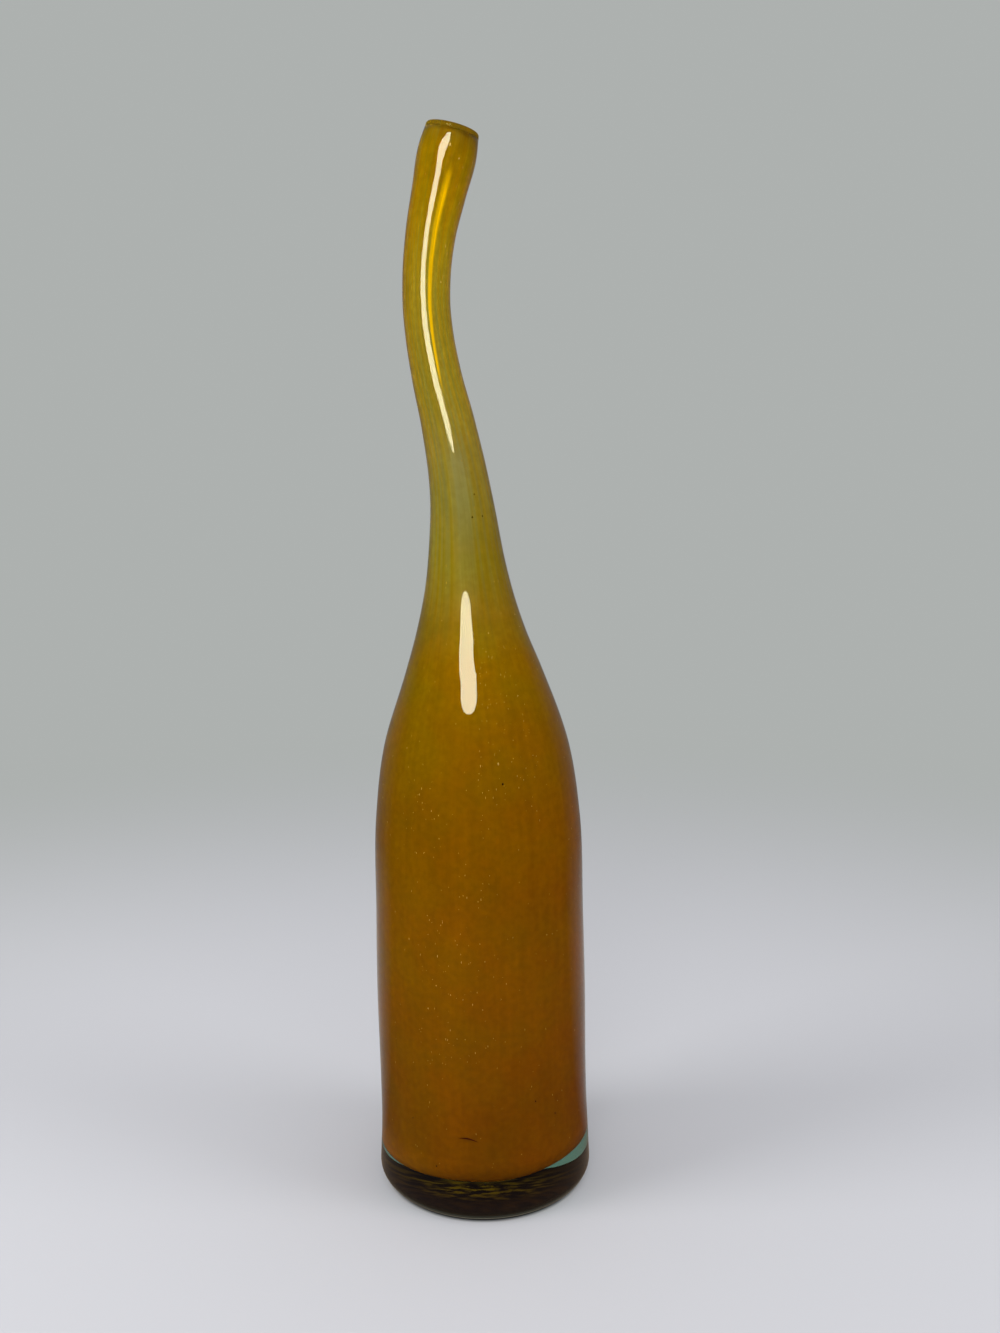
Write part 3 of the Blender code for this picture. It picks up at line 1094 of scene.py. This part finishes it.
def floor_look():
    """The floor's material. Sharp mirror images show their own version of it."""
    material, tree, output = new_material("floor")
    place = tree.nodes.new("ShaderNodeTexCoord").outputs["Object"]
    distance = vector_node(tree, "LENGTH", place, result="Value")
    # A shadow is painted on the floor where it meets the base.
    contact_shadow = ranged(tree, distance, *CONTACT_SHADOW_EDGES, 0, 1)
    surface = made(tree, "ShaderNodeBsdfPrincipled", {
        "Base Color": two_colors(tree, contact_shadow, CONTACT_SHADOW_COLOR, FLOOR_COLOR),
        "Roughness": FLOOR_ROUGHNESS,
        "Specular IOR Level": FLOOR_SHINE,
    })
    fade = ranged(tree, distance, *FLOOR_FADE_EDGES, 0, 1, "SMOOTHSTEP")
    seen = mixed(tree, fade, surface, made(tree, "ShaderNodeEmission", {"Color": BACK_COLOR}))
    mirrored_color = mirrored_floor(tree, place, distance)
    mirrored = made(tree, "ShaderNodeEmission", {"Color": mirrored_color})
    path = tree.nodes.new("ShaderNodeLightPath").outputs
    sharp = product(tree, path["Is Reflection Ray"], path["Is Singular Ray"])
    tree.links.new(mixed(tree, sharp, seen, mirrored), output.inputs["Surface"])
    return material


def floor():
    """The pale floor, just below the base."""
    bpy.ops.mesh.primitive_circle_add(vertices=FLOOR_SIDES, radius=FLOOR_RADIUS, fill_type="NGON")
    disc = bpy.context.object
    disc.name = "floor"
    disc.location.z = -FLOOR_GAP
    disc.data.materials.append(floor_look())


def world():
    """Pale where the camera sees it. In mirror images it is dark on the viewer's side."""
    studio = bpy.data.worlds.new("studio")
    bpy.context.scene.world = studio
    studio.use_nodes = True
    tree = studio.node_tree
    seen = tree.nodes["Background"]
    seen.inputs["Color"].default_value = BACK_COLOR
    way = tree.nodes.new("ShaderNodeTexCoord").outputs["Generated"]
    mirrored = made(tree, "ShaderNodeBackground", {
        "Color": mirrored_side(tree, way),
        "Strength": MIRRORED_FAR,
    })
    light = made(tree, "ShaderNodeBackground", {"Color": ROOM_LIGHT})
    path = tree.nodes.new("ShaderNodeLightPath").outputs
    sharp = mixed(tree, path["Is Reflection Ray"], seen.outputs[0], mirrored)
    whole = mixed(tree, path["Is Diffuse Ray"], sharp, light)
    tree.links.new(whole, tree.nodes["World Output"].inputs["Surface"])


def window_light():
    """The window's material. It isn't seen straight through the glass, but the amber scatters it."""
    material, tree, output = new_material("window")
    light = made(tree, "ShaderNodeEmission", {"Color": WINDOW_COLOR, "Strength": WINDOW_STRENGTH})
    path = tree.nodes.new("ShaderNodeLightPath").outputs
    not_through = number_node(tree, "SUBTRACT", 1, path["Is Transmission Ray"])
    scattered = number_node(tree, "MINIMUM", path["Diffuse Depth"], 1)
    shown = number_node(tree, "MAXIMUM", not_through, scattered)
    open_way = made(tree, "ShaderNodeBsdfTransparent", {})
    tree.links.new(mixed(tree, shown, open_way, light), output.inputs["Surface"])
    return material


def window():
    """The bright window, which shows only as the highlights on the glass."""
    left, right = [], []
    for height_share, left_share, right_share in WINDOW_SHARES:
        height = between(*WINDOW_ENDS, height_share)
        left.append((WINDOW_MIDDLE + WINDOW_HALF_WIDTH * left_share, WINDOW_FRONT, height))
        right.append((WINDOW_MIDDLE + WINDOW_HALF_WIDTH * right_share, WINDOW_FRONT, height))
    mesh = bpy.data.meshes.new("window")
    rows = range(len(left) - 1)
    faces = [(row, row + 1, len(left) + row + 1, len(left) + row) for row in rows]
    mesh.from_pydata(left + right, [], faces)
    mesh.materials.append(window_light())
    pane = bpy.data.objects.new("window", mesh)
    bpy.context.scene.collection.objects.link(pane)
    pane.visible_camera = False
    pane.visible_diffuse = False
    pane.visible_shadow = False


def lamps():
    """Soft round lamps, which no surface mirrors."""
    for name, place, width, power in LAMPS:
        data = bpy.data.lights.new(name, "AREA")
        data.shape = "DISK"
        data.size = width
        data.energy = power
        lamp = bpy.data.objects.new(name, data)
        bpy.context.scene.collection.objects.link(lamp)
        lamp.location = place
        way = Vector(LAMP_TARGET) - Vector(place)
        lamp.rotation_euler = way.to_track_quat("-Z", "Y").to_euler()
        lamp.visible_camera = False
        lamp.visible_glossy = False
        lamp.visible_transmission = False


def in_glass(stations, angle, height, depth_share):
    """A place inside the clear layer, before the bend."""
    radius, height = inset_point(stations, height, casing_depth(height) * depth_share)
    return Vector(round_axis(radius, angle, height))


def drop_shape():
    """A ball of radius 1 with few faces: its points and its faces."""
    points = [(0, 0, -1)]
    for ring in range(1, DROP_RINGS):
        tilt = math.pi * ring / DROP_RINGS
        for side in range(DROP_SIDES):
            points.append(round_axis(math.sin(tilt), 2 * math.pi * side / DROP_SIDES, -math.cos(tilt)))
    points.append((0, 0, 1))
    top = len(points) - 1
    last = top - DROP_SIDES
    faces = []
    for side in range(DROP_SIDES):
        after = (side + 1) % DROP_SIDES
        faces.append((0, 1 + after, 1 + side))
        faces.append((top, last + side, last + after))
        for ring in range(DROP_RINGS - 2):
            low = 1 + ring * DROP_SIDES
            faces.append((low + side, low + after, low + DROP_SIDES + after, low + DROP_SIDES + side))
    return points, faces


def add_drop(points, faces, place, width, length):
    """A small upright drop, added to the points and faces of a mesh."""
    shape_points, shape_faces = drop_shape()
    start = len(points)
    for x, y, z in shape_points:
        points.append(place + Vector((x * width, y * width, z * length)))
    for face in shape_faces:
        faces.append([start + corner for corner in face])


def piece_in_glass(name, points, faces, material, guide):
    """A piece in the glass, bent along the guide as the glass is."""
    piece = bent_object(name, smooth_mesh(name, points, faces, material), guide)
    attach(piece, "root")


def seeds(stations, guide, name, clusters, large, colors):
    """Bubbles of the clear layer: small ones by chance, and the larger ones at their places."""
    chance = random.Random(SEED_START)
    points, faces = [], []
    for angles, heights, count in clusters:
        for index in range(count):
            angle = math.radians(chance.uniform(*angles))
            height = chance.uniform(*heights)
            place = in_glass(stations, angle, height, chance.uniform(*SEED_DEPTH_SHARES))
            width = chance.uniform(*SEED_WIDTHS)
            add_drop(points, faces, place, width, width * chance.uniform(*SEED_STRETCHES))
    for degrees, height, width in large:
        place = in_glass(stations, math.radians(degrees), height, LARGE_SEED_DEPTH_SHARE)
        add_drop(points, faces, place, width, LARGE_SEED_STRETCH * width)
    # The bubbles' colour is a painted glint.
    material = mottled(name, colors, SEED_ROUGHNESS)
    piece_in_glass(name, points, faces, material, guide)


def specks(stations, guide):
    """The dark specks."""
    points, faces = [], []
    for degrees, height, size in SPECKS:
        place = in_glass(stations, math.radians(degrees), height, SPECK_DEPTH_SHARE)
        add_drop(points, faces, place, size, SPECK_STRETCH * size)
    material = mottled("speck_dark", SPECK_COLORS, DULL_ROUGHNESS)
    piece_in_glass("dark_specks", points, faces, material, guide)


def thread(stations, guide):
    """The small dark thread: a bowed line that tapers to both ends."""
    points, faces = [], []
    for step in range(THREAD_STEPS + 1):
        share = step / THREAD_STEPS
        bow = math.sin(math.pi * share)
        angle = math.radians(between(*THREAD_ANGLES, share))
        height = between(*THREAD_HEIGHTS, share) + THREAD_BOW * bow
        middle = in_glass(stations, angle, height, THREAD_DEPTH_SHARE)
        out = Vector(round_axis(1, angle, 0))
        up = Vector((0, 0, 1))
        size = THREAD_RADIUS * between(THREAD_TIP_SHARE, 1, bow)
        for side in range(THREAD_SIDES):
            turn = 2 * math.pi * side / THREAD_SIDES
            points.append(middle + size * (out * math.cos(turn) + up * math.sin(turn)))
    for step in range(THREAD_STEPS):
        low, high = step * THREAD_SIDES, (step + 1) * THREAD_SIDES
        for side in range(THREAD_SIDES):
            after = (side + 1) % THREAD_SIDES
            faces.append((low + side, high + side, high + after, low + after))
    faces.append(list(range(THREAD_SIDES)))
    faces.append([THREAD_STEPS * THREAD_SIDES + side for side in range(THREAD_SIDES)][::-1])
    material = mottled("thread_red", THREAD_COLORS, DULL_ROUGHNESS)
    piece_in_glass("dark_thread", points, faces, material, guide)


def render_settings():
    """Plain colours, and enough bounces for the layers of glass."""
    scene = bpy.context.scene
    scene.view_settings.view_transform = "Standard"
    scene.cycles.transmission_bounces = TRANSMISSION_BOUNCES
    scene.cycles.max_bounces = MAX_BOUNCES
    scene.cycles.transparent_max_bounces = TRANSPARENT_BOUNCES


def main():
    """The vase in the frame of its solids, on the floor and before the camera."""
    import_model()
    render_settings()
    camera()
    floor()
    world()
    window()
    lamps()
    guide, rim_height = centre_line()
    stations = outline_stations(rim_height)
    casing = turned_glass(
        "clear_casing", lambda angle: casing_profile(stations, rim_height, angle), clear_glass(), guide
    )
    core = turned_glass(
        "amber_core", lambda angle: core_profile(stations, rim_height, angle), amber_glass(), guide
    )
    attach(casing, "root")
    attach(core, "root")
    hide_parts("clear_body", "clear_neck")
    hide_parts("amber_body", "amber_neck")
    seeds(stations, guide, "body_seeds", BODY_SEEDS, LARGE_BODY_SEEDS, BODY_SEED_GLINT_COLORS)
    seeds(stations, guide, "neck_seeds", NECK_SEEDS, LARGE_NECK_SEEDS, NECK_SEED_GLINT_COLORS)
    specks(stations, guide)
    thread(stations, guide)


main()
